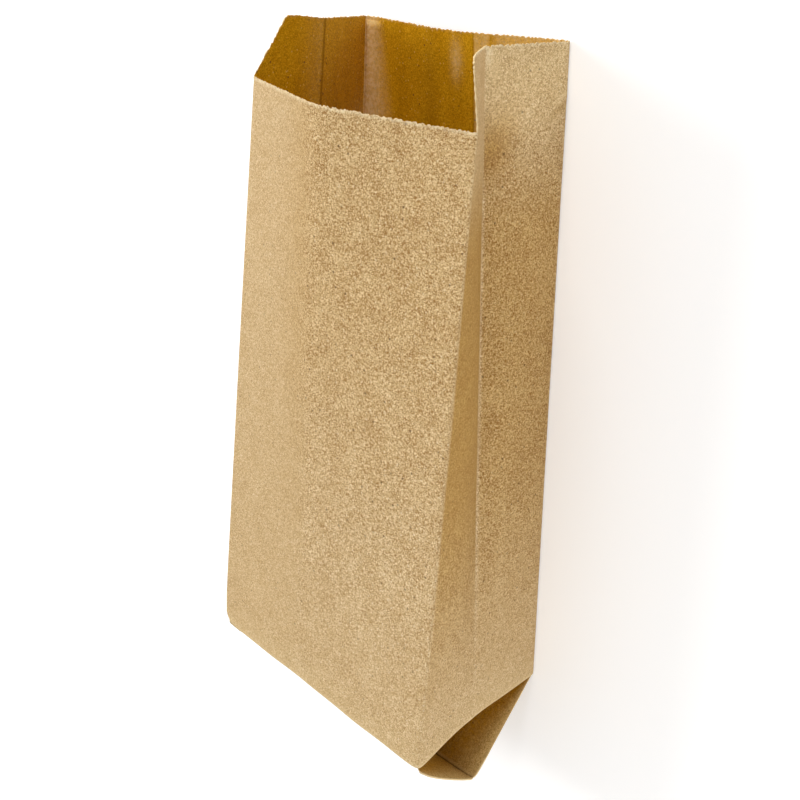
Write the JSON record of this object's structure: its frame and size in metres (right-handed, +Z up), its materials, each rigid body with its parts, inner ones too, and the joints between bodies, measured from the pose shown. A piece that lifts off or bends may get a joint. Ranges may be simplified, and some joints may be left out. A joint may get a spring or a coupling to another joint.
{
  "type": "paper bag",
  "caption": "Opened gusseted kraft paper bag lying on its back, with a serrated mouth, a lower-cut front lip and a tucked V bottom.",
  "frame": {"origin": "centre of the bag's footprint, on the surface that its back panel lies on", "axes": "+X across the bag, +Y along it from the glued bottom to the open mouth, +Z up from the back panel to the front panel"},
  "size_m": [0.1424, 0.3052, 0.0868],
  "materials": {
    "kraft_paper": "unbleached, matte, mottled brown paper, darker on the inside"
  },
  "bodies": {
    "root": {"paper_bag": "kraft_paper"}
  },
  "joints": []
}
